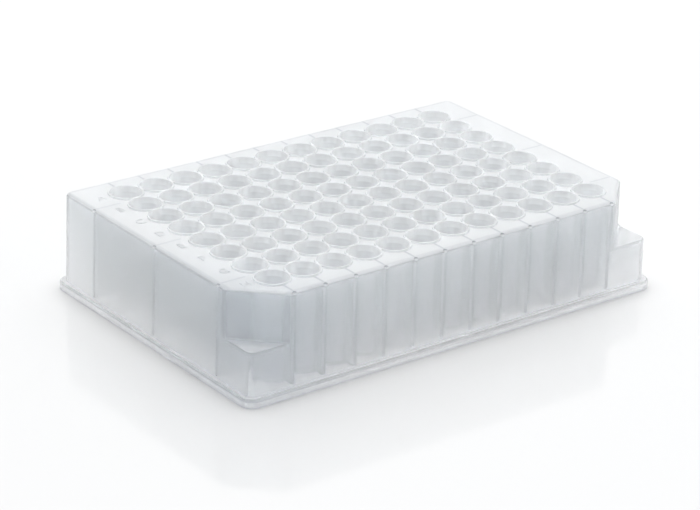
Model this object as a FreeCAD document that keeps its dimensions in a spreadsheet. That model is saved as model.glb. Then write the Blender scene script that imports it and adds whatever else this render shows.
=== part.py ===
import FreeCAD, Part
import math
import os

import Sketcher
from FreeCAD import Vector

# A 96-well deep-well plate, one injection moulding of natural polypropylene.
#
# The plate stands on the underside of its flange. The origin is the middle of the footprint in
# that plane. +X runs from column 1 to column 12, +Y from row H to row A and +Z is up.
# Sizes are in millimetres and degrees.
#
# The moulding is built the way its mould shapes it: a drafted block on a flange, two cut corners
# above triangular ledges, a hollow underside with a stacking recess, and in it 96 round tubes
# whose walls run into each other and stand proud of the deck as rims. Ribs tie the outer tubes
# to the skirt. The wells are bored last, so nothing is left inside them.

DRIVING_SIZES = [
    # the grid of wells and the footprint around it are those of the standard for microplates
    ("pitch", 9.0, "from one well to the next"),
    ("columns", 12, "wells along X"),
    ("rows", 8, "wells along Y"),
    ("end_margin", 14.38, "from the footprint's ends to the nearest wells' centres"),
    ("side_margin", 11.24, "from the footprint's sides to the nearest wells' centres"),
    ("footprint_radius", 3.18, "outer corner radius of the flange"),
    # heights
    ("deck_height", 26.3, "top of the deck above the base"),
    ("rim_height", 0.5, "how far the well rims stand above the deck"),
    ("flange_height", 2.4, "height of the flange"),
    # the block
    ("end_ledge", 1.3, "width of the step on the flange at the two ends"),
    ("side_ledge", 1.5, "width of the step on the flange along the sides"),
    ("block_radius", 2.4, "radius of the block's upright corners"),
    ("draft", 1.0, "draft of the walls, inside and outside"),
    ("wall", 1.3, "thickness of the skirt and of the flange's wall"),
    ("deck_thickness", 1.2, "thickness of the deck"),
    ("deck_edge_radius", 1.0, "rounding between the deck and the walls"),
    ("flange_edge_radius", 0.5, "rounding of the flange's upper edge"),
    ("recess_depth", 1.2, "stacking recess in the flange's underside"),
    # the two cut corners, beside wells H1 and H12
    ("cut_x", 11.8, "cut corner along X"),
    ("cut_y", 11.2, "cut corner along Y"),
    ("cut_radius", 2.0, "rounding of the upright edges of a cut corner"),
    ("ledge_height", 13.7, "top of the triangular ledge above the base"),
    # tubes and wells
    ("web", 0.7, "thinnest wall between two wells"),
    ("rim_width", 0.45, "wall of a tube, which is the width of its rim"),
    ("foot_gap", 1.2, "bottom of a tube above the base"),
    ("floor_thickness", 0.8, "floor of a well"),
    # ribs between the tubes and the skirt
    ("rib_thickness", 0.9, "thickness of a rib"),
    ("rib_foot", 2.5, "lower edge of the ribs above the base"),
    ("rib_bite", 0.3, "how deep a rib runs into a tube's wall and into the deck"),
    ("end_ribs", 3, "ribs at each end of the plate"),
    ("wells_per_end_rib", 3, "wells between one end rib and the next"),
    # how far a cutting tool stands clear of what it cuts
    ("overrun", 1.0, "overrun of a cut past the surface it opens"),
]

DERIVED_SIZES = [
    ("last_x", "=(columns - 1) * pitch / 2"),
    ("last_y", "=(rows - 1) * pitch / 2"),
    ("plate_length", "=2 * (last_x + end_margin)"),
    ("plate_width", "=2 * (last_y + side_margin)"),
    ("plate_height", "=deck_height + rim_height"),
    ("block_length", "=plate_length - 2 * end_ledge"),
    ("block_width", "=plate_width - 2 * side_ledge"),
    ("draft_shift", "=deck_height * tan(draft * 1 deg)"),
    ("deck_underside", "=deck_height - deck_thickness"),
    # the recess and the hollow, which keep the wall's thickness
    ("recess_length", "=plate_length - 2 * wall"),
    ("recess_width", "=plate_width - 2 * wall"),
    ("recess_radius", "=max(footprint_radius - wall; wall / 2)"),
    ("hollow_length", "=block_length - 2 * wall"),
    ("hollow_width", "=block_width - 2 * wall"),
    ("hollow_radius", "=max(block_radius - wall; wall / 2)"),
    ("hollow_x", "=hollow_length / 2"),
    ("hollow_y", "=hollow_width / 2"),
    ("ledge_underside", "=ledge_height - wall"),
    # the slanting line of a cut corner, carried on past the block
    ("cut_far_x", "=block_length / 2 + overrun"),
    ("cut_far_y", "=block_width / 2 + overrun"),
    ("cut_near_x", "=block_length / 2 - cut_x * (1 + overrun / cut_y)"),
    ("cut_near_y", "=block_width / 2 - cut_y * (1 + overrun / cut_x)"),
    ("cut_rise", "=deck_height + overrun - ledge_height"),
    # the same line one wall further in, where it meets the sides of the hollow
    ("cut_inset", "=wall * sqrt(1 / cut_x ^ 2 + 1 / cut_y ^ 2)"),
    ("hollow_cut_x", "=block_length / 2 - cut_x * (1 + cut_inset - wall / cut_y)"),
    ("hollow_cut_y", "=block_width / 2 - cut_y * (1 + cut_inset - wall / cut_x)"),
    # radii and heights along a tube and a well
    ("well_radius", "=(pitch - web) / 2"),
    ("tube_radius", "=well_radius + rim_width"),
    ("floor_height", "=foot_gap + floor_thickness"),
    ("bore_top", "=plate_height + overrun"),
    # ribs reach from inside a tube's wall to the middle of the drafted skirt
    ("half_rib", "=rib_thickness / 2"),
    ("rib_end_x", "=block_length / 2 - (wall + draft_shift) / 2"),
    ("rib_end_y", "=block_width / 2 - (wall + draft_shift) / 2"),
    ("rib_start_y", "=last_y + tube_radius - rib_bite"),
    ("rib_rise", "=deck_underside + rib_bite - rib_foot"),
    ("first_rib_left", "=last_x + half_rib"),
    ("first_rib_right", "=last_x - half_rib"),
    ("end_rib_pitch", "=wells_per_end_rib * pitch"),
    ("end_rib_middle", "=(end_ribs - 1) * end_rib_pitch / 2"),
    ("end_rib_front", "=end_rib_middle - half_rib"),
    ("end_rib_back", "=end_rib_middle + half_rib"),
]

# how near, in millimetres, an edge has to be to a place to count as lying there
NEAR = 0.01


def make_sizes(doc):
    """The spreadsheet that drives every feature: what a size means, its value and its alias."""
    sheet = doc.addObject("Spreadsheet::Sheet", "Sizes")
    rows = [(alias, str(value), meaning) for alias, value, meaning in DRIVING_SIZES]
    rows += [(alias, formula, "worked out") for alias, formula in DERIVED_SIZES]
    for row, (alias, content, meaning) in enumerate(rows, start=1):
        sheet.set(f"A{row}", meaning)
        sheet.set(f"B{row}", content)
        sheet.setAlias(f"B{row}", alias)
    doc.recompute()
    return sheet


class Moulding:
    """A PartDesign body whose sketches and features take their sizes from the sheet."""

    def __init__(self, doc, sheet, name, label):
        self.doc = doc
        self.sheet = sheet
        self.body = doc.addObject("PartDesign::Body", name)
        self.body.Label = label

    def size(self, alias):
        """The value of a size, taken as negative where its alias has a minus sign before it."""
        value = self.sheet.get(alias.lstrip("-"))
        value = float(getattr(value, "Value", value))
        return -value if alias.startswith("-") else value

    def origin(self, role):
        """One of the body's own origin planes or axes."""
        return next(item for item in self.body.Origin.OriginFeatures if item.Role == role)

    def finish(self, feature):
        """Makes a feature the body's latest one and works it out."""
        self.body.Tip = feature
        self.doc.recompute()
        return feature

    # sketches

    def sketch(self, name, plane="XY_Plane", **offset):
        """An empty sketch on an origin plane, moved by signed sizes along its own x, y and z."""
        sketch = self.body.newObject("Sketcher::SketchObject", name)
        sketch.AttachmentSupport = (self.origin(plane), [""])
        sketch.MapMode = "FlatFace"
        for axis, alias in offset.items():
            sign = "-" if alias.startswith("-") else ""
            formula = f"{sign}Sizes.{alias.lstrip('-')}"
            sketch.setExpression(f"AttachmentOffset.Base.{axis}", formula)
        return sketch

    def drive(self, sketch, kind, ends, name, alias):
        """Adds a dimension to a sketch, names it and binds it to a size."""
        index = sketch.addConstraint(Sketcher.Constraint(kind, *ends, self.size(alias)))
        sketch.renameConstraint(index, name)
        sketch.setExpression(f"Constraints.{name}", f"Sizes.{alias}")

    def place(self, sketch, line, axis, alias, name):
        """Holds a line's start at a signed size from the sketch's origin, or on its axis."""
        if not alias:
            axis_line = -2 if axis == "X" else -1
            sketch.addConstraint(Sketcher.Constraint("PointOnObject", line, 1, axis_line))
            return
        ends = (line, 1, -1, 1) if alias.startswith("-") else (-1, 1, line, 1)
        self.drive(sketch, f"Distance{axis}", ends, name, alias.lstrip("-"))

    def polygon(self, sketch, corners):
        """A closed outline. Each corner is two aliases, signed, or None for a place on an axis."""
        points = [
            Vector(*(self.size(alias) if alias else 0 for alias in corner), 0)
            for corner in corners
        ]
        lines = [
            sketch.addGeometry(Part.LineSegment(start, end))
            for start, end in zip(points, points[1:] + points[:1])
        ]
        for line, following in zip(lines, lines[1:] + lines[:1]):
            sketch.addConstraint(Sketcher.Constraint("Coincident", line, 2, following, 1))
        for number, (line, corner) in enumerate(zip(lines, corners)):
            for axis, alias in zip("XY", corner):
                self.place(sketch, line, axis, alias, f"corner{number}{axis.lower()}")
        return sketch

    def rounded_rectangle(self, sketch, length, width, radius):
        """A rectangle with round corners around the sketch's origin."""
        x = self.size(length) / 2
        y = self.size(width) / 2
        r = self.size(radius)
        sides = [
            ((x, r - y), (x, y - r)),
            ((x - r, y), (r - x, y)),
            ((-x, y - r), (-x, r - y)),
            ((r - x, -y), (x - r, -y)),
        ]
        centres = [(x - r, y - r), (r - x, y - r), (r - x, r - y), (x - r, r - y)]
        lines = []
        arcs = []
        for quarter, (side, centre) in enumerate(zip(sides, centres)):
            start, end = (Vector(*point, 0) for point in side)
            lines.append(sketch.addGeometry(Part.LineSegment(start, end)))
            circle = Part.Circle(Vector(*centre, 0), Vector(0, 0, 1), r)
            angles = (quarter * math.pi / 2, (quarter + 1) * math.pi / 2)
            arcs.append(sketch.addGeometry(Part.ArcOfCircle(circle, *angles)))
        for line, arc, following in zip(lines, arcs, lines[1:] + lines[:1]):
            sketch.addConstraint(Sketcher.Constraint("Tangent", line, 2, arc, 1))
            sketch.addConstraint(Sketcher.Constraint("Tangent", arc, 2, following, 1))
        for arc in arcs[1:]:
            sketch.addConstraint(Sketcher.Constraint("Equal", arcs[0], arc))
        right, top, left, bottom = lines
        sketch.addConstraint(Sketcher.Constraint("Vertical", right))
        sketch.addConstraint(Sketcher.Constraint("Horizontal", top))
        sketch.addConstraint(Sketcher.Constraint("Symmetric", right, 1, left, 1, -1, 1))
        self.drive(sketch, "Radius", (arcs[0],), "radius", radius)
        self.drive(sketch, "DistanceX", (left, 1, right, 1), "length", length)
        self.drive(sketch, "DistanceY", (bottom, 1, top, 1), "width", width)
        return sketch

    # features

    def raised(self, kind, name, sketch, rise, draft=None):
        """A Pad or Pocket from a sketch upwards by a size, narrowing by the draft."""
        feature = self.body.newObject(f"PartDesign::{kind}", name)
        feature.Profile = sketch
        feature.Reversed = kind == "Pocket"
        feature.setExpression("Length", f"Sizes.{rise}")
        if draft:
            feature.setExpression("TaperAngle", f"-Sizes.{draft}")
        return self.finish(feature)

    def turned(self, kind, name, corners):
        """A Revolution or Groove around well A1's axis, with its corners as radius and height."""
        sketch = self.sketch(f"{name}Profile", "XZ_Plane", x="-last_x", z="-last_y")
        feature = self.body.newObject(f"PartDesign::{kind}", name)
        feature.Profile = self.polygon(sketch, corners)
        feature.ReferenceAxis = (sketch, ["V_Axis"])
        return self.finish(feature)

    def grid(self, name, feature, along_x=None, along_y=None):
        """Repeats a feature along +X and -Y, each given as how many there are and their pitch."""
        pattern = self.body.newObject("PartDesign::LinearPattern", name)
        pattern.Originals = [feature]
        # -1 stands for the plain pitch. Left alone, the second direction starts with a step of 0
        pattern.Spacings2 = [-1.0]
        steps = [("X_Axis", False, along_x), ("Y_Axis", True, along_y)]
        steps = [step for step in steps if step[2]]
        for suffix, (axis, backwards, (count, pitch)) in zip(("", "2"), steps):
            setattr(pattern, f"Direction{suffix}", (self.origin(axis), [""]))
            setattr(pattern, f"Reversed{suffix}", backwards)
            setattr(pattern, f"Mode{suffix}", "Spacing")
            pattern.setExpression(f"Offset{suffix}", f"Sizes.{pitch}")
            pattern.setExpression(f"Occurrences{suffix}", f"Sizes.{count}")
        return self.finish(pattern)

    def mirrored(self, name, features, plane):
        """Mirrors features in one of the body's origin planes."""
        mirror = self.body.newObject("PartDesign::Mirrored", name)
        mirror.Originals = features
        mirror.MirrorPlane = (self.origin(plane), [""])
        return self.finish(mirror)

    def fillet(self, name, radius, wanted):
        """Rounds the edges of the latest feature for which wanted(edge) is true."""
        base = self.body.Tip
        edges = [
            f"Edge{number}"
            for number, edge in enumerate(base.Shape.Edges, start=1)
            if wanted(edge)
        ]
        fillet = self.body.newObject("PartDesign::Fillet", name)
        fillet.Base = (base, edges)
        fillet.setExpression("Radius", f"Sizes.{radius}")
        return self.finish(fillet)


def lies_at(edge, height):
    """Whether an edge lies in the level plane at a height."""
    box = edge.BoundBox
    return abs(box.ZMin - height) < NEAR and abs(box.ZMax - height) < NEAR


def make_block(plate):
    """The flange and the drafted block, with the two cut corners and the roundings."""
    outline = plate.rounded_rectangle(
        plate.sketch("BlockOutline"), "block_length", "block_width", "block_radius"
    )
    plate.raised("Pad", "Block", outline, "deck_height", draft="draft")

    corner = plate.polygon(
        plate.sketch("CutOutline", z="ledge_height"),
        [
            ("-cut_far_x", "-cut_far_y"),
            ("-cut_near_x", "-cut_far_y"),
            ("-cut_far_x", "-cut_near_y"),
        ],
    )
    cut = plate.raised("Pocket", "CutCorner", corner, "cut_rise")
    plate.mirrored("CutCorners", [cut], "YZ_Plane")

    ledge = plate.size("ledge_height")
    deck = plate.size("deck_height")
    cut_end_x = plate.size("block_length") / 2 - plate.size("cut_x")
    cut_end_y = plate.size("block_width") / 2 - plate.size("cut_y")
    reach = plate.size("draft_shift") + NEAR

    def beside_the_cut(edge):
        """Whether an edge is one of the four that run up from a ledge beside a cut corner."""
        box = edge.BoundBox
        upright = abs(box.ZMin - ledge) < NEAR and abs(box.ZMax - deck) < NEAR
        middle = box.Center
        near_side = middle.y < 0 and abs(abs(middle.x) - cut_end_x) < reach
        near_end = abs(middle.y + cut_end_y) < reach
        return upright and (near_side or near_end)

    plate.fillet("CutEdges", "cut_radius", beside_the_cut)
    plate.fillet("DeckEdge", "deck_edge_radius", lambda edge: lies_at(edge, deck))

    footprint = plate.rounded_rectangle(
        plate.sketch("Footprint"), "plate_length", "plate_width", "footprint_radius"
    )
    plate.raised("Pad", "Flange", footprint, "flange_height")

    step = plate.size("flange_height")
    half_block_x = plate.size("block_length") / 2
    half_block_y = plate.size("block_width") / 2

    def on_the_flange(edge):
        """Whether an edge is part of the flange's upper outer edge."""
        middle = edge.BoundBox.Center
        outside = abs(middle.x) > half_block_x - NEAR or abs(middle.y) > half_block_y - NEAR
        return lies_at(edge, step) and outside

    plate.fillet("FlangeEdge", "flange_edge_radius", on_the_flange)


def make_hollow(plate):
    """The stacking recess and the hollow under the deck, which steps in at the cut corners."""
    recess = plate.rounded_rectangle(
        plate.sketch("RecessOutline"), "recess_length", "recess_width", "recess_radius"
    )
    plate.raised("Pocket", "Recess", recess, "recess_depth")

    lower = plate.rounded_rectangle(
        plate.sketch("LowerHollowOutline"), "hollow_length", "hollow_width", "hollow_radius"
    )
    plate.raised("Pocket", "LowerHollow", lower, "ledge_underside", draft="draft")

    upper = plate.polygon(
        plate.sketch("UpperHollowOutline"),
        [
            ("-hollow_cut_x", "-hollow_y"),
            ("hollow_cut_x", "-hollow_y"),
            ("hollow_x", "-hollow_cut_y"),
            ("hollow_x", "hollow_y"),
            ("-hollow_x", "hollow_y"),
            ("-hollow_x", "-hollow_cut_y"),
        ],
    )
    plate.raised("Pocket", "UpperHollow", upper, "deck_underside", draft="draft")


def make_ribs(plate):
    """A rib from every outer tube of the long sides and a few at each end, all to the skirt."""
    side = plate.polygon(
        plate.sketch("SideRibOutline", z="rib_foot"),
        [
            ("-first_rib_left", "rib_start_y"),
            ("-first_rib_right", "rib_start_y"),
            ("-first_rib_right", "rib_end_y"),
            ("-first_rib_left", "rib_end_y"),
        ],
    )
    rib = plate.raised("Pad", "SideRib", side, "rib_rise")
    plate.grid("BackRibs", rib, along_x=("columns", "pitch"))

    front = plate.polygon(
        plate.sketch("FrontRibOutline", z="rib_foot"),
        [
            ("-first_rib_left", "-rib_end_y"),
            ("-first_rib_right", "-rib_end_y"),
            ("-first_rib_right", "-rib_start_y"),
            ("-first_rib_left", "-rib_start_y"),
        ],
    )
    rib = plate.raised("Pad", "FrontRib", front, "rib_rise")
    plate.grid("FrontRibs", rib, along_x=("columns", "pitch"))

    for end, sign in (("Left", "-"), ("Right", "")):
        outline = plate.polygon(
            plate.sketch(f"{end}RibOutline", z="rib_foot"),
            [
                (f"{sign}rib_end_x", "end_rib_front"),
                (f"{sign}last_x", "end_rib_front"),
                (f"{sign}last_x", "end_rib_back"),
                (f"{sign}rib_end_x", "end_rib_back"),
            ],
        )
        rib = plate.raised("Pad", f"{end}Rib", outline, "rib_rise")
        plate.grid(f"{end}Ribs", rib, along_y=("end_ribs", "end_rib_pitch"))


def make_tubes(plate):
    """The tubes, from their set-in feet to the rims, one for each well."""
    tube = plate.turned(
        "Revolution",
        "Tube",
        [
            (None, "foot_gap"),
            ("tube_radius", "foot_gap"),
            ("tube_radius", "plate_height"),
            (None, "plate_height"),
        ],
    )
    plate.grid("Tubes", tube, ("columns", "pitch"), ("rows", "pitch"))


def make_wells(plate):
    """The bores of the wells, each with a sloping edge around its floor."""
    well = plate.turned(
        "Groove",
        "Well",
        [
            (None, "floor_height"),
            ("well_radius", "floor_height"),
            ("well_radius", "bore_top"),
            (None, "bore_top"),
        ],
    )
    plate.grid("Wells", well, ("columns", "pitch"), ("rows", "pitch"))


def refuse_faults(doc, bodies):
    """Stops where an object of the document failed or a body isn't one sound solid."""
    for item in doc.Objects:
        if "Invalid" in item.State or "Error" in item.State:
            raise RuntimeError(f"{item.Name} has failed: {item.State}")
    for body in bodies:
        if body.Shape.isNull() or not body.Shape.isValid() or len(body.Shape.Solids) != 1:
            raise RuntimeError(f"{body.Label} isn't one sound solid")


def main():
    doc = FreeCAD.newDocument("WellPlate")
    plate = Moulding(doc, make_sizes(doc), "WellPlate", "well_plate")
    make_block(plate)
    make_hollow(plate)
    make_ribs(plate)
    make_tubes(plate)
    make_wells(plate)
    doc.recompute()

    bodies = [plate.body]
    refuse_faults(doc, bodies)
    os.makedirs("parts", exist_ok=True)
    for body in bodies:
        body.Shape.exportStep(f"parts/{body.Label}.step")
        box = body.Shape.optimalBoundingBox(False, False)
        print(f"{body.Label}: {box.XLength:.2f} x {box.YLength:.2f} x {box.ZLength:.2f} mm,", end=" ")
        print(f"{body.Shape.Volume / 1000:.2f} cm3, {len(body.Shape.Faces)} faces")


main()
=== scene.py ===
import math
from collections import namedtuple
from functools import reduce

import bmesh
import bpy
from mathutils import Euler, Matrix, Vector


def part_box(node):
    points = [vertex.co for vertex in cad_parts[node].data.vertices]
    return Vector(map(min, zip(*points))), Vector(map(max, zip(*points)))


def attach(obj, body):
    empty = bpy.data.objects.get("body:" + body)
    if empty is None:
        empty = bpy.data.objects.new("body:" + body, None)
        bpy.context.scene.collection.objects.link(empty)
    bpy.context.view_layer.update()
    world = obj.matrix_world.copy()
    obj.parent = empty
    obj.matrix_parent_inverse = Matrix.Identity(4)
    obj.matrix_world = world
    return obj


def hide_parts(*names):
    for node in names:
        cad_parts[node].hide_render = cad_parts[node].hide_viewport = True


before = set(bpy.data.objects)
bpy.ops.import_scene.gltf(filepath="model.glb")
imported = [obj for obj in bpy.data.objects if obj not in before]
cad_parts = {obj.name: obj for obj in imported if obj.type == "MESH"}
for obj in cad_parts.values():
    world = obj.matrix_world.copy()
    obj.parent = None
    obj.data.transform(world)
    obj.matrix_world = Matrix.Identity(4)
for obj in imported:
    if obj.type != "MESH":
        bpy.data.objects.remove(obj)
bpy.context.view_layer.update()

# ---------------------------------------------------------------------------------------------
# Sizes, in metres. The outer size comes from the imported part, and the rest repeats its design.
# ---------------------------------------------------------------------------------------------
MM = 0.001
LOW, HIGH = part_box("well_plate")
LENGTH, WIDTH, HEIGHT = HIGH - LOW

PITCH = 9 * MM
COLUMNS = 12
ROWS = 8
LAST_X = (COLUMNS - 1) * PITCH / 2
LAST_Y = (ROWS - 1) * PITCH / 2

WALL = 1.3 * MM
DRAFT = math.tan(math.radians(1))
FOOTPRINT_RADIUS = 3.18 * MM
FLANGE_HEIGHT = 2.4 * MM
FLANGE_ROUNDING = 0.5 * MM
BASE_ROUNDING = 0.2 * MM
RECESS_DEPTH = 1.2 * MM

RIM_HEIGHT = 0.5 * MM
DECK = HEIGHT - RIM_HEIGHT
DECK_UNDERSIDE = DECK - 1.2 * MM
DECK_ROUNDING = 1.0 * MM
BLOCK_X = LENGTH / 2 - 1.3 * MM
BLOCK_Y = WIDTH / 2 - 1.5 * MM
BLOCK_RADIUS = 2.4 * MM

CUT_X = 11.8 * MM
CUT_Y = 11.2 * MM
CUT_RADIUS = 2.0 * MM
LEDGE = 13.7 * MM
LEDGE_ROUNDING = 0.5 * MM
LEDGE_FILLET = 0.8 * MM

WELL_RADIUS = 4.15 * MM
TUBE_RADIUS = WELL_RADIUS + 0.45 * MM
RIM_ROUNDING = 0.12 * MM
FOOT = 1.2 * MM
FLOOR = FOOT + 0.8 * MM
FLOOR_ROUNDING = 0.8 * MM
FOOT_ROUNDING = 0.5 * MM

RIB_THICKNESS = 0.9 * MM
RIB_FOOT = 2.5 * MM
RIB_BITE = 0.3 * MM
END_RIBS = 3
END_RIB_PITCH = 3 * PITCH

NOTCH_RADIUS = 0.85 * MM
NOTCH_OUT = 0.1 * MM
NOTCH_POLE = 0.02 * MM

LETTER_SIZE = 3.8 * MM
LETTER_THINNING = 0.04 * MM
LETTER_PROUD = 0.08 * MM
LETTER_X = -LAST_X - 7.0 * MM
LETTER_RISE = 0.6 * MM

# How far a solid reaches past the face that it cuts or joins.
OVERRUN = 1.0 * MM
# Corners closer than this are made into one.
SAME_PLACE = 0.001 * MM
SMALLEST_RADIUS = 0.1 * MM

TURN_SEGMENTS = 48
CORNER_SEGMENTS = 8
ROUNDING_SEGMENTS = 3
EDGE_SEGMENTS = 6
NOTCH_SEGMENTS = 24
NOTCH_STEPS = 10
LETTER_SEGMENTS = 3
SHARP_ANGLE = math.radians(32)
SHADING_WEIGHT = 50


# ---------------------------------------------------------------------------------------------
# Shapes
# ---------------------------------------------------------------------------------------------
def quarter(radius, segments=ROUNDING_SEGMENTS):
    """Steps round a quarter of a circle: how far it has gone in, and how far it has gone up."""
    for step in range(segments + 1):
        angle = math.pi / 2 * step / segments
        yield radius * (1 - math.cos(angle)), radius * math.sin(angle)


def outline(corners, inset):
    """The points of a convex outline moved inwards. Each corner is its place and its radius."""
    edges = []
    for (start, _), (end, _) in zip(corners, corners[1:] + corners[:1]):
        along = (end - start).normalized()
        inwards = Vector((-along.y, along.x))
        edges.append((start + inwards * inset, along))
    points = []
    for index in range(len(corners)):
        (before, along_before), (after, along_after) = edges[index - 1], edges[index]
        radius = max(corners[index][1] - inset, SMALLEST_RADIUS)
        cross = along_before.x * along_after.y - along_before.y * along_after.x
        gap = after - before
        reach = (gap.x * along_after.y - gap.y * along_after.x) / cross
        corner = before + along_before * reach
        turned = math.atan2(cross, along_before.dot(along_after))
        start = corner - along_before * (radius * math.tan(turned / 2))
        centre = start + Vector((-along_before.y, along_before.x)) * radius
        for step in range(CORNER_SEGMENTS + 1):
            turning = Matrix.Rotation(turned * step / CORNER_SEGMENTS, 2)
            points.append(centre + turning @ (start - centre))
    return points


def close(mesh, rings):
    """Joins rings of vertices, the lowest first, into a closed skin."""
    for lower, upper in zip(rings, rings[1:]):
        for index in range(len(lower)):
            following = (index + 1) % len(lower)
            mesh.faces.new((lower[index], lower[following], upper[following], upper[index]))
    mesh.faces.new(reversed(rings[0]))
    mesh.faces.new(rings[-1])


def stack(mesh, levels):
    """Adds a closed solid to a mesh, from the height and the points of each of its levels."""
    close(mesh, [[mesh.verts.new((x, y, height)) for x, y in points] for height, points in levels])


def loft(mesh, corners, levels):
    """Adds a closed solid to a mesh: one outline at each level, given as its height and inset."""
    stack(mesh, [(height, outline(corners, inset)) for height, inset in levels])


def turn(mesh, x, y, profile, segments=TURN_SEGMENTS):
    """Adds a closed solid of revolution to a mesh, from a profile of radius and height."""
    angles = [2 * math.pi * step / segments for step in range(segments)]
    levels = []
    for radius, height in profile:
        ring = [(x + radius * math.cos(angle), y + radius * math.sin(angle)) for angle in angles]
        levels.append((height, ring))
    stack(mesh, levels)


def box(mesh, low, high):
    """Adds a closed box to a mesh."""
    corners = (low[0], low[1]), (high[0], low[1]), (high[0], high[1]), (low[0], high[1])
    stack(mesh, [(low[2], corners), (high[2], corners)])


def solid(name, build):
    """An object whose mesh is filled in by build(mesh)."""
    mesh = bmesh.new()
    build(mesh)
    data = bpy.data.meshes.new(name)
    mesh.to_mesh(data)
    mesh.free()
    piece = bpy.data.objects.new(name, data)
    bpy.context.scene.collection.objects.link(piece)
    return piece


def finished(piece):
    """A new mesh of a piece with its modifiers applied."""
    seen = piece.evaluated_get(bpy.context.evaluated_depsgraph_get())
    return bpy.data.meshes.new_from_object(seen)


def combine(piece, build, operation):
    """Joins the solid that build(mesh) makes to a piece, or cuts it away."""
    tool = solid("tool", build)
    modifier = piece.modifiers.new("combine", "BOOLEAN")
    modifier.operation = operation
    modifier.solver = "MANIFOLD"
    modifier.object = tool
    data = finished(piece)
    piece.modifiers.clear()
    piece.data = data
    bpy.data.objects.remove(tool)


# ---------------------------------------------------------------------------------------------
# The plate
# ---------------------------------------------------------------------------------------------
def rectangle(half_x, half_y, radius):
    """The corners of a rectangle about the origin, counter-clockwise."""
    places = ((-half_x, -half_y), (half_x, -half_y), (half_x, half_y), (-half_x, half_y))
    return [(Vector(place), radius) for place in places]


def cut_block(share=1.0):
    """The corners of the block above its ledges, with a share of its two front corners cut off."""
    cut_x, cut_y = CUT_X * share, CUT_Y * share
    return [
        (Vector((-BLOCK_X, cut_y - BLOCK_Y)), CUT_RADIUS),
        (Vector((cut_x - BLOCK_X, -BLOCK_Y)), CUT_RADIUS),
        (Vector((BLOCK_X - cut_x, -BLOCK_Y)), CUT_RADIUS),
        (Vector((BLOCK_X, cut_y - BLOCK_Y)), CUT_RADIUS),
        (Vector((BLOCK_X, BLOCK_Y)), BLOCK_RADIUS),
        (Vector((-BLOCK_X, BLOCK_Y)), BLOCK_RADIUS),
    ]


def drafted(low, high, wall=0.0):
    """Two levels of a drafted wall, which leans in as it rises, seen at its inner face."""
    return [(height, wall + height * DRAFT) for height in (low, high)]


def flange(mesh):
    """The flange, with its upper edge well rounded and its lower edge just broken."""
    lower = [(BASE_ROUNDING - rise, run) for run, rise in quarter(BASE_ROUNDING)]
    edge = FLANGE_HEIGHT - FLANGE_ROUNDING
    upper = [(edge + rise, run) for run, rise in quarter(FLANGE_ROUNDING)]
    loft(mesh, rectangle(LENGTH / 2, WIDTH / 2, FOOTPRINT_RADIUS), lower[::-1] + upper)


def lower_block(mesh):
    """The block from the flange to the ledges."""
    edge = LEDGE - LEDGE_ROUNDING
    levels = drafted(FLANGE_HEIGHT / 2, edge)
    levels += [(edge + rise, LEDGE * DRAFT + run) for run, rise in quarter(LEDGE_ROUNDING)]
    loft(mesh, rectangle(BLOCK_X, BLOCK_Y, BLOCK_RADIUS), levels)


def upper_block(mesh):
    """The block above the ledges, hollowed at the foot of its cut walls and rounded at its top."""
    depth = CUT_X * CUT_Y / math.hypot(CUT_X, CUT_Y)
    levels = []
    for run, rise in quarter(LEDGE_FILLET, EDGE_SEGMENTS):
        height = LEDGE + LEDGE_FILLET - rise
        levels.insert(0, (height, outline(cut_block(1 - run / depth), height * DRAFT)))
    levels.insert(0, (LEDGE - OVERRUN, levels[0][1]))
    edge = DECK - DECK_ROUNDING
    for run, rise in quarter(DECK_ROUNDING, EDGE_SEGMENTS):
        levels.append((edge + rise, outline(cut_block(), edge * DRAFT + run)))
    stack(mesh, levels)


def recess(mesh):
    """The shallow recess under the flange, where the rims of a plate below would sit."""
    half_x, half_y = LENGTH / 2 - WALL, WIDTH / 2 - WALL
    corners = rectangle(half_x, half_y, FOOTPRINT_RADIUS - WALL)
    loft(mesh, corners, [(-OVERRUN, 0), (RECESS_DEPTH, 0)])


def lower_hollow(mesh):
    """The space inside the walls, up to the ledges."""
    levels = drafted(-OVERRUN, LEDGE - WALL, WALL)
    loft(mesh, rectangle(BLOCK_X, BLOCK_Y, BLOCK_RADIUS), levels)


def upper_hollow(mesh):
    """The space inside the walls, up to the deck."""
    loft(mesh, cut_block(), drafted(-OVERRUN, DECK_UNDERSIDE, WALL))


def column_x(column):
    return column * PITCH - LAST_X


def end_rib_y(number):
    return (number - (END_RIBS - 1) / 2) * END_RIB_PITCH


def ribs(mesh):
    """The ribs from the outer tubes to the walls."""
    top = DECK_UNDERSIDE + RIB_BITE
    half = RIB_THICKNESS / 2
    lean = WALL / 2 + DECK * DRAFT / 2
    inner_y, outer_y = LAST_Y + TUBE_RADIUS - RIB_BITE, BLOCK_Y - lean
    for x in map(column_x, range(COLUMNS)):
        box(mesh, (x - half, inner_y, RIB_FOOT), (x + half, outer_y, top))
        box(mesh, (x - half, -outer_y, RIB_FOOT), (x + half, -inner_y, top))
    inner_x, outer_x = LAST_X, BLOCK_X - lean
    for y in map(end_rib_y, range(END_RIBS)):
        box(mesh, (inner_x, y - half, RIB_FOOT), (outer_x, y + half, top))
        box(mesh, (-outer_x, y - half, RIB_FOOT), (-inner_x, y + half, top))


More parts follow.
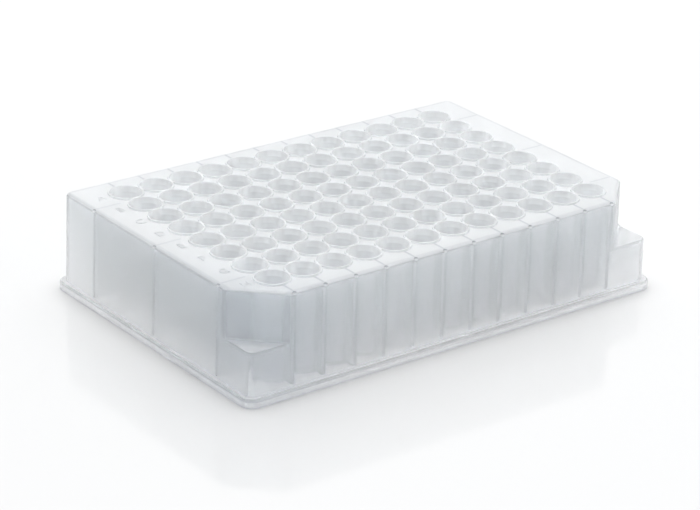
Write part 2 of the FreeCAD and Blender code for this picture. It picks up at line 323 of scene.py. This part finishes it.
def notches(mesh):
    """A small round dent in the deck's edge at the end of each rib."""
    across, along = (reach - DECK * DRAFT + NOTCH_OUT for reach in (BLOCK_X, BLOCK_Y))
    sites = [(column_x(column), side * along) for column in range(COLUMNS) for side in (-1, 1)]
    sites += [(side * across, end_rib_y(number)) for number in range(END_RIBS) for side in (-1, 1)]
    profile = []
    for step in range(NOTCH_STEPS + 1):
        angle = math.pi * (step / NOTCH_STEPS - 0.5)
        radius = max(NOTCH_RADIUS * math.cos(angle), NOTCH_POLE)
        profile.append((radius, DECK + NOTCH_OUT + NOTCH_RADIUS * math.sin(angle)))
    for x, y in sites:
        turn(mesh, x, y, profile, NOTCH_SEGMENTS)


def centres():
    """The column and row of each well, and its centre."""
    for column in range(COLUMNS):
        for row in range(ROWS):
            yield column, row, column_x(column), LAST_Y - row * PITCH


def tubes(parity):
    """Builds every other tube, as on a chessboard, so that none touches another."""
    top = HEIGHT - RIM_ROUNDING
    foot = TUBE_RADIUS - FOOT_ROUNDING
    profile = [(foot + rise, FOOT + run) for run, rise in quarter(FOOT_ROUNDING)]
    profile += [(TUBE_RADIUS - run, top + rise) for run, rise in quarter(RIM_ROUNDING)]

    def build(mesh):
        for column, row, x, y in centres():
            if (column + row) % 2 == parity:
                turn(mesh, x, y, profile)

    return build


def wells(mesh):
    """The space in the tubes, with a rounding at the floor and round the mouth."""
    top = HEIGHT - RIM_ROUNDING
    foot = WELL_RADIUS - FLOOR_ROUNDING
    profile = [(foot + rise, FLOOR + run) for run, rise in quarter(FLOOR_ROUNDING)]
    profile += [(WELL_RADIUS + run, top + rise) for run, rise in quarter(RIM_ROUNDING)]
    profile.append((WELL_RADIUS + RIM_ROUNDING, HEIGHT + OVERRUN))
    for _, _, x, y in centres():
        turn(mesh, x, y, profile)


def build_plate():
    """The whole plate as one closed mesh, in the same steps as the CAD."""
    plate = solid("plate", flange)
    for build in (lower_block, upper_block):
        combine(plate, build, "UNION")
    for build in (recess, lower_hollow, upper_hollow):
        combine(plate, build, "DIFFERENCE")
    for build in (ribs, tubes(0), tubes(1)):
        combine(plate, build, "UNION")
    for build in (wells, notches):
        combine(plate, build, "DIFFERENCE")
    for face in plate.data.polygons:
        face.use_smooth = True
    plate.data.set_sharp_from_angle(angle=SHARP_ANGLE)
    modifier = plate.modifiers.new("even_shading", "WEIGHTED_NORMAL")
    modifier.mode = "FACE_AREA"
    modifier.keep_sharp = True
    modifier.weight = SHADING_WEIGHT
    return plate


def build_letters():
    """The raised letters beside column 1, one to a row, as one mesh of closed letters."""
    mesh = bmesh.new()
    for row in range(ROWS):
        curve = bpy.data.curves.new("letter", "FONT")
        curve.body = chr(ord("A") + row)
        curve.size = LETTER_SIZE
        curve.extrude = LETTER_PROUD
        curve.offset = -LETTER_THINNING
        curve.resolution_u = LETTER_SEGMENTS
        curve.align_x = "CENTER"
        curve.align_y = "CENTER"
        letter = bpy.data.objects.new("letter", curve)
        bpy.context.scene.collection.objects.link(letter)
        data = finished(letter)
        data.transform(Matrix.Translation((LETTER_X, LAST_Y - row * PITCH + LETTER_RISE, DECK)))
        mesh.from_mesh(data)
        bpy.data.objects.remove(letter)
        bpy.data.curves.remove(curve)
        bpy.data.meshes.remove(data)
    bmesh.ops.remove_doubles(mesh, verts=mesh.verts, dist=SAME_PLACE)
    bmesh.ops.recalc_face_normals(mesh, faces=mesh.faces)
    data = bpy.data.meshes.new("row_letters")
    mesh.to_mesh(data)
    mesh.free()
    letters = bpy.data.objects.new("row_letters", data)
    bpy.context.scene.collection.objects.link(letters)
    return letters


# ---------------------------------------------------------------------------------------------
# Plastic
# ---------------------------------------------------------------------------------------------
WHITE = (1, 1, 1, 1)
MILK = (0.99, 0.994, 0.998, 1)
CLEAR = (0.997, 0.998, 1.0, 1)
SHADED = (0.73, 0.745, 0.77, 1)
# The raised letters are coloured greyer than the plastic round them.
LETTER_GREY = (0.78, 0.79, 0.8, 1)
# Painted shade: the walls are darkened towards the deck.
WALL_TOP_PAINTED_SHADE = (0.953, 0.962, 0.965, 1)
# Painted shade: the plastic is darkened near H1, and this is how far along each side it is so.
H1_PAINTED_SHADE = (0.95, 0.958, 0.968, 1)
H1_SHADE_X = 40 * MM
H1_SHADE_Y = 62 * MM

# Dark lines, each with its width and with how dark it is: in front of the ribs, painted shade along
# the deck's edge and at the cut corners, and a painted contact shadow along the foot.
RIB_LINE, LONG_RIB_DARK, END_RIB_DARK, WALL_DARK = 0.55 * MM, 1.0, 0.6, 0.6
EDGE_LINE, EDGE_PAINTED_SHADE = 0.6 * MM, 0.45
CORNER_LINE, CORNER_PAINTED_SHADE = 1.2 * MM, 0.55
BASE_LINE, FOOT_PAINTED_SHADOW = 0.8 * MM, 0.8
SINK_DEPTH = 0.06 * MM

# Where the upright part of a normal makes a face of the deck or a ledge count as flat.
DECK_LEVEL = 0.25, 0.85
LEDGE_LEVEL = 0.85, 1.0
LEDGE_MILK = 0.7
LEDGE_REACH = 0.6 * MM
# How far out from the line of the cut the ledge turns milky.
LEDGE_FADE = 0.5 * MM, 6 * MM
# How much of a bore, between its neighbours, has the deck behind it.
BETWEEN = 0.2 * WELL_RADIUS ** 2, 0.4 * WELL_RADIUS ** 2
BETWEEN_FADE = 0.2 * MM, 0.3 * MM

CLOUD_SIZE = 14 * MM
CLOUD_FADE = 0.3, 0.7
CLOUD_TINT = (0.99, 0.99, 0.99, 1)
GRAIN_SIZE = 1.1 * MM
GRAIN_FADE = 0.2, 0.8
GRAIN_DEPTH = 0.002 * MM
GRAIN_ROUGHNESS = 0.04
IOR = 1.49

# The bores take in the faces this near to a well's own wall and floor, up to the deck's rounding.
BORE_REACH = 0.05 * MM
BORE_FOOT = 0.1 * MM
UPWARD = 0.3


class Graph:
    """A material's node tree, with a short way to add nodes that are linked as they are made."""

    def __init__(self, name):
        self.material = bpy.data.materials.new(name)
        self.material.use_nodes = True
        self.tree = self.material.node_tree
        self.tree.nodes.clear()

    def add(self, kind, inputs=None, **settings):
        """Adds a node. An input is either a socket to link to or a value to set."""
        node = self.tree.nodes.new("ShaderNode" + kind)
        for name, value in settings.items():
            setattr(node, name, value)
        for name, value in (inputs or {}).items():
            if isinstance(value, bpy.types.NodeSocket):
                self.tree.links.new(value, node.inputs[name])
            else:
                node.inputs[name].default_value = value
        return node

    def maths(self, operation, *values):
        return self.add("Math", dict(enumerate(values)), operation=operation).outputs[0]

    def product(self, *values):
        return reduce(lambda one, other: self.maths("MULTIPLY", one, other), values)

    def largest(self, *values):
        return reduce(lambda one, other: self.maths("MAXIMUM", one, other), values)

    def ramp(self, value, low, high, start=0.0, end=1.0):
        """A smooth step from start to end as a value goes from low to high."""
        inputs = {"Value": value, "From Min": low, "From Max": high, "To Min": start, "To Max": end}
        return self.add("MapRange", inputs, interpolation_type="SMOOTHSTEP").outputs[0]

    def noise(self, place, size):
        inputs = {"Vector": place, "Scale": 1 / size, "Detail": 0.0}
        return self.add("TexNoise", inputs).outputs["Fac"]

    def blend(self, share, colour, other, mode="MIX"):
        return self.add("MixRGB", {0: share, 1: colour, 2: other}, blend_type=mode).outputs[0]

    def mix(self, share, shader, other):
        return self.add("MixShader", {0: share, 1: shader, 2: other}).outputs[0]

    def output(self, surface):
        self.add("OutputMaterial", {"Surface": surface})
        return self.material


def rib_lines(graph, x, y, away_x, away_y):
    """1 in front of the ribs of the long walls, less in front of those of the ends, else 0."""
    across = graph.maths("PINGPONG", x, PITCH / 2)
    long_side = graph.product(
        graph.ramp(across, PITCH / 2 - RIB_LINE, PITCH / 2, 0.0, LONG_RIB_DARK),
        graph.maths("GREATER_THAN", away_y, LAST_Y + TUBE_RADIUS),
        graph.maths("LESS_THAN", away_x, LAST_X + TUBE_RADIUS),
    )
    along = graph.maths("PINGPONG", y, END_RIB_PITCH / 2)
    end = graph.product(
        graph.ramp(along, 0.0, RIB_LINE, END_RIB_DARK, 0.0),
        graph.maths("GREATER_THAN", away_x, LAST_X + TUBE_RADIUS),
    )
    return graph.largest(long_side, end)


def dark_lines(graph, x, y, z):
    """How dark the body's plastic is, from 0 to 1: lines in front of the ribs, painted shade at the
    deck's edge and the cut corners, and a painted contact shadow along the foot.
    """
    away_x, away_y = graph.maths("ABSOLUTE", x), graph.maths("ABSOLUTE", y)
    ribbed = graph.product(
        rib_lines(graph, x, y, away_x, away_y),
        graph.ramp(z, DECK - DECK_ROUNDING, DECK, WALL_DARK, 1.0),
        graph.maths("GREATER_THAN", z, FLANGE_HEIGHT),
    )
    # Painted shade along the deck's rounded edge.
    inset = DECK * DRAFT + DECK_ROUNDING
    past_x = graph.maths("SUBTRACT", away_x, BLOCK_X - inset)
    past_y = graph.maths("SUBTRACT", away_y, BLOCK_Y - inset)
    edge = graph.product(
        graph.ramp(graph.largest(past_x, past_y), -EDGE_LINE, 0.0, 0.0, EDGE_PAINTED_SHADE),
        graph.maths("GREATER_THAN", z, DECK - DECK_ROUNDING / 2),
    )
    # Painted shade at the rounded corners where the cut walls meet the end walls.
    off_x = graph.maths("SUBTRACT", away_x, BLOCK_X - (LEDGE + DECK) / 2 * DRAFT)
    off_y = graph.maths("ADD", y, BLOCK_Y - CUT_Y)
    off = graph.maths("MULTIPLY_ADD", off_x, off_x, graph.maths("MULTIPLY", off_y, off_y))
    corner = graph.product(
        graph.ramp(off, 0.0, CORNER_LINE ** 2, CORNER_PAINTED_SHADE, 0.0),
        graph.maths("GREATER_THAN", z, LEDGE + LEDGE_FILLET),
    )
    # Painted contact shadow along the foot.
    base = graph.ramp(z, 0.0, BASE_LINE, FOOT_PAINTED_SHADOW, 0.0)
    return graph.largest(ribbed, edge, corner, base)


def flat_places(graph, x, y, z):
    """1 on the deck and the rims, less on the ledges, fading to 0 round their edges."""
    normal = graph.add("NewGeometry").outputs["Normal"]
    level = graph.maths("ABSOLUTE", graph.add("SeparateXYZ", {0: normal}).outputs[2])
    deck = graph.product(
        graph.maths("GREATER_THAN", z, DECK - DECK_ROUNDING),
        graph.ramp(level, *DECK_LEVEL),
    )
    away_x, away_y = graph.maths("ABSOLUTE", x), graph.maths("ABSOLUTE", y)
    out = graph.maths("MULTIPLY_ADD", away_y, CUT_X / CUT_Y, away_x)
    cut = BLOCK_X + BLOCK_Y * CUT_X / CUT_Y - CUT_X
    ledge = graph.product(
        graph.maths("COMPARE", z, LEDGE, LEDGE_REACH),
        graph.ramp(level, *LEDGE_LEVEL, 0.0, LEDGE_MILK),
        graph.ramp(out, *(cut + fade for fade in LEDGE_FADE)),
    )
    return graph.largest(deck, ledge)


def thick_places(graph, x, y, z):
    """1 where a bore has the thick of the deck behind it, between a well and its neighbours."""
    local_x = graph.maths("SUBTRACT", graph.maths("WRAP", x, PITCH, 0.0), PITCH / 2)
    local_y = graph.maths("SUBTRACT", graph.maths("WRAP", y, PITCH, 0.0), PITCH / 2)
    between = graph.maths("ABSOLUTE", graph.maths("MULTIPLY", local_x, local_y))
    below, above = BETWEEN_FADE
    height = graph.ramp(z, DECK_UNDERSIDE - below, DECK_UNDERSIDE + above)
    return graph.product(graph.ramp(between, *BETWEEN), height)


# A finish has three shares where the plastic is thin and three where it is thick: how much of it
# is milk, how much of the rest is quite clear, and how much light the milk lets through. Its marks
# and its thick places are functions of the place.
Finish = namedtuple("Finish", "thin thick roughness plain marked marks thickness top_tint sink")
BODY_FINISH = Finish(
    thin=(0.25, 0.2, 0.6),
    thick=(0.72, 0.08, 0.45),
    roughness=0.2,
    plain=MILK,
    marked=SHADED,
    marks=dark_lines,
    thickness=flat_places,
    top_tint=WALL_TOP_PAINTED_SHADE,
    sink=SINK_DEPTH,
)
BORE_FINISH = Finish(
    thin=(0.75, 0.0, 0.7),
    thick=(0.95, 0.0, 0.35),
    roughness=0.2,
    plain=CLEAR,
    marked=MILK,
    marks=thick_places,
    thickness=thick_places,
    top_tint=WHITE,
    sink=0.0,
)
LETTER_FINISH = BODY_FINISH._replace(thin=(0.9, 0.0, 0.3), roughness=0.3, plain=LETTER_GREY, marked=LETTER_GREY)
BODY, BORE = range(2)


def polypropylene(name, finish):
    """Natural polypropylene: milky, and clear enough at this thickness to show what is behind."""
    graph = Graph(name)
    place = graph.add("TexCoord").outputs["Object"]
    x, y, z = graph.add("SeparateXYZ", {0: place}).outputs
    marks = finish.marks(graph, x, y, z)
    thick = finish.thickness(graph, x, y, z)
    milk_share, clear_share, through_share = [
        here if here == there else graph.maths("MULTIPLY_ADD", thick, there - here, here)
        for here, there in zip(finish.thin, finish.thick)
    ]
    cloud = graph.ramp(graph.noise(place, CLOUD_SIZE), *CLOUD_FADE)
    grain = graph.noise(place, GRAIN_SIZE)
    colour = graph.blend(marks, finish.plain, finish.marked)
    # Painted shade on the walls, darkest at the deck, and none on the flat faces.
    if finish.top_tint != WHITE:
        high = graph.product(graph.ramp(z, 0.0, DECK), graph.maths("SUBTRACT", 1.0, thick))
        colour = graph.blend(1.0, colour, graph.blend(high, WHITE, finish.top_tint), "MULTIPLY")
    colour = graph.blend(1.0, colour, graph.blend(cloud, WHITE, CLOUD_TINT), "MULTIPLY")
    # Painted shade, darkest at corner H1 and fading out along each side.
    in_x = graph.maths("MULTIPLY", graph.maths("ADD", x, LENGTH / 2), 1 / H1_SHADE_X)
    in_y = graph.maths("MULTIPLY", graph.maths("ADD", y, WIDTH / 2), 1 / H1_SHADE_Y)
    away = graph.ramp(graph.maths("ADD", in_x, in_y), 0.0, 1.0)
    colour = graph.blend(1.0, colour, graph.blend(away, H1_PAINTED_SHADE, WHITE), "MULTIPLY")
    rough, rougher = finish.roughness - GRAIN_ROUGHNESS, finish.roughness + GRAIN_ROUGHNESS
    fine = graph.maths("MULTIPLY", grain, GRAIN_DEPTH)
    height = graph.maths("MULTIPLY_ADD", marks, -finish.sink, fine)
    relief = graph.add("Bump", {"Strength": 1.0, "Distance": 1.0, "Height": height}).outputs[0]
    glassy = {
        "Base Color": colour,
        "Roughness": graph.ramp(grain, *GRAIN_FADE, rough, rougher),
        "IOR": IOR,
        "Transmission Weight": 1.0,
        "Normal": relief,
    }
    frosted = graph.add("BsdfPrincipled", glassy).outputs[0]
    clear = graph.add("BsdfTransparent", {"Color": colour}).outputs[0]
    diffuse = graph.add("BsdfDiffuse", {"Color": colour, "Normal": relief}).outputs[0]
    through = graph.add("BsdfTranslucent", {"Color": colour, "Normal": relief}).outputs[0]
    resin = graph.mix(clear_share, frosted, clear)
    return graph.output(graph.mix(milk_share, resin, graph.mix(through_share, diffuse, through)))


def nearest(value, last, count):
    """The place nearest to a value along a row of wells."""
    index = min(max(round((value + last) / PITCH), 0), count - 1)
    return index * PITCH - last


def zone(face):
    """Which finish a face of the plate has: the body's or a bore's."""
    x, y, z = face.center
    away = math.hypot(x - nearest(x, LAST_X, COLUMNS), y - nearest(y, LAST_Y, ROWS))
    outside = z > DECK - DECK_ROUNDING and face.normal.z > UPWARD
    inside = away < WELL_RADIUS + BORE_REACH and z > FLOOR - BORE_FOOT
    return BORE if inside and not outside else BODY


plate = build_plate()
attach(plate, "root")
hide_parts("well_plate")
plate.data.materials.clear()
plate.data.materials.append(polypropylene("natural_polypropylene", BODY_FINISH))
plate.data.materials.append(polypropylene("natural_polypropylene_bore", BORE_FINISH))
for face in plate.data.polygons:
    face.material_index = zone(face)

letters = build_letters()
letters.data.materials.append(polypropylene("natural_polypropylene_letters", LETTER_FINISH))
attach(letters, "root")


# ---------------------------------------------------------------------------------------------
# Studio
# ---------------------------------------------------------------------------------------------
FLOOR_REACH = 4.0
FLOOR_ALBEDO = 0.505
FLOOR_IOR = 1.7
FLOOR_ROUGHNESS = 0.07
# A little of the floor's white is its own glow, and a painted contact shadow takes it away near the
# foot of the plate.
FLOOR_LIFT = 0.34
FLOOR_LIFT_INSIDE = 0.1
CONTACT_REACH = 7 * MM
# What the floor is to the light that falls on the plate.
PLAIN_ALBEDO = 0.9
PLAIN_ROUGHNESS = 0.4

# Angles in degrees, as azimuth and elevation seen from the plate. 90 is towards +X.
WORLD_LEVEL, WORLD_SWING, WORLD_LIGHTEST = 0.44, 0.71, (113, 58)
WORLD_TINT = (0.98, 0.99, 1.0, 1)
KEY_POWER, KEY_SIZE, KEY_DISTANCE, KEY_FROM = 6.5, 1.2, 1.2, (150, 65)
CAMERA_FROM, CAMERA_ROLL = (-37.77, 23.45), 1.745
CAMERA_DISTANCE = 705 * MM
CAMERA_AIM = Vector((-2.72, -0.69, 9.95)) * MM
CAMERA_LENS = 142.41


def grey(level):
    return level, level, level, 1


def facing(azimuth, elevation):
    """The turn of a lamp or camera that looks back at the plate from an azimuth and elevation."""
    return Euler((math.pi / 2 - math.radians(elevation), 0, math.radians(azimuth))).to_matrix()


def floor_material():
    """Polished white acrylic, which the camera sees as white with a soft shadow in it."""
    graph = Graph("white_acrylic")
    plain = {"Base Color": grey(PLAIN_ALBEDO), "Roughness": PLAIN_ROUGHNESS}
    path = graph.add("LightPath").outputs
    # Painted contact shadow: the glow fades where the plate is within reach.
    open_share = graph.add("AmbientOcclusion", {"Distance": CONTACT_REACH}).outputs["AO"]
    shut = graph.maths("SUBTRACT", 1.0, open_share)
    direct = graph.maths("LESS_THAN", path["Transparent Depth"], 0.5)
    painted_contact_shadow = graph.product(shut, path["Is Camera Ray"], direct)
    lift = graph.maths("MULTIPLY_ADD", painted_contact_shadow, -FLOOR_LIFT, FLOOR_LIFT)
    inside = path["Is Transmission Ray"]
    polish = {
        "Base Color": grey(FLOOR_ALBEDO),
        "Roughness": FLOOR_ROUGHNESS,
        "IOR": FLOOR_IOR,
        "Specular IOR Level": 1.0,
        "Emission Color": WHITE,
        "Emission Strength": graph.maths("MULTIPLY_ADD", inside, FLOOR_LIFT_INSIDE, lift),
    }
    seen = graph.largest(path["Is Camera Ray"], path["Is Glossy Ray"], path["Is Transmission Ray"])
    shaders = [graph.add("BsdfPrincipled", inputs).outputs[0] for inputs in (plain, polish)]
    return graph.output(graph.mix(seen, *shaders))


def make_floor():
    data = bpy.data.meshes.new("floor")
    corners = ((-1, -1), (1, -1), (1, 1), (-1, 1))
    places = [(x * FLOOR_REACH, y * FLOOR_REACH, 0) for x, y in corners]
    data.from_pydata(places, [], [range(len(places))])
    data.materials.append(floor_material())
    floor = bpy.data.objects.new("floor", data)
    bpy.context.scene.collection.objects.link(floor)


def make_world():
    """A studio that is lightest towards one direction and dimmest opposite it."""
    world = bpy.data.worlds.new("studio")
    bpy.context.scene.world = world
    world.use_nodes = True
    nodes, links = world.node_tree.nodes, world.node_tree.links
    nodes["Background"].inputs["Color"].default_value = WORLD_TINT
    direction = nodes.new("ShaderNodeTexCoord")
    towards = nodes.new("ShaderNodeVectorMath")
    towards.operation = "DOT_PRODUCT"
    towards.inputs[1].default_value = facing(*WORLD_LIGHTEST) @ Vector((0, 0, 1))
    strength = nodes.new("ShaderNodeMath")
    strength.operation = "MULTIPLY_ADD"
    strength.inputs[1].default_value = WORLD_SWING
    strength.inputs[2].default_value = WORLD_LEVEL
    links.new(direction.outputs["Generated"], towards.inputs[0])
    links.new(towards.outputs["Value"], strength.inputs[0])
    links.new(strength.outputs[0], nodes["Background"].inputs["Strength"])


def place_round_plate(name, data, turned, distance, aim):
    """Places a lamp or camera so that it looks at a point from a distance."""
    item = bpy.data.objects.new(name, data)
    item.matrix_world = Matrix.LocRotScale(aim + turned @ Vector((0, 0, distance)), turned, None)
    bpy.context.scene.collection.objects.link(item)
    return item


make_floor()
make_world()

softbox = bpy.data.lights.new("key", "AREA")
softbox.energy = KEY_POWER
softbox.size = KEY_SIZE
place_round_plate("key", softbox, facing(*KEY_FROM), KEY_DISTANCE, Vector())

# Many bounces, because light crosses many walls of plastic on its way through the plate.
scene = bpy.context.scene
scene.cycles.blur_glossy = 0
scene.cycles.max_bounces = 36
scene.cycles.transparent_max_bounces = 32
scene.cycles.transmission_bounces = 36
scene.cycles.glossy_bounces = 36
scene.cycles.diffuse_bounces = 12

lens = bpy.data.cameras.new("camera")
lens.lens = CAMERA_LENS
turned = facing(*CAMERA_FROM) @ Matrix.Rotation(math.radians(CAMERA_ROLL), 3, "Z")
scene.camera = place_round_plate("camera", lens, turned, CAMERA_DISTANCE, CAMERA_AIM)
scene.view_settings.view_transform = "Standard"
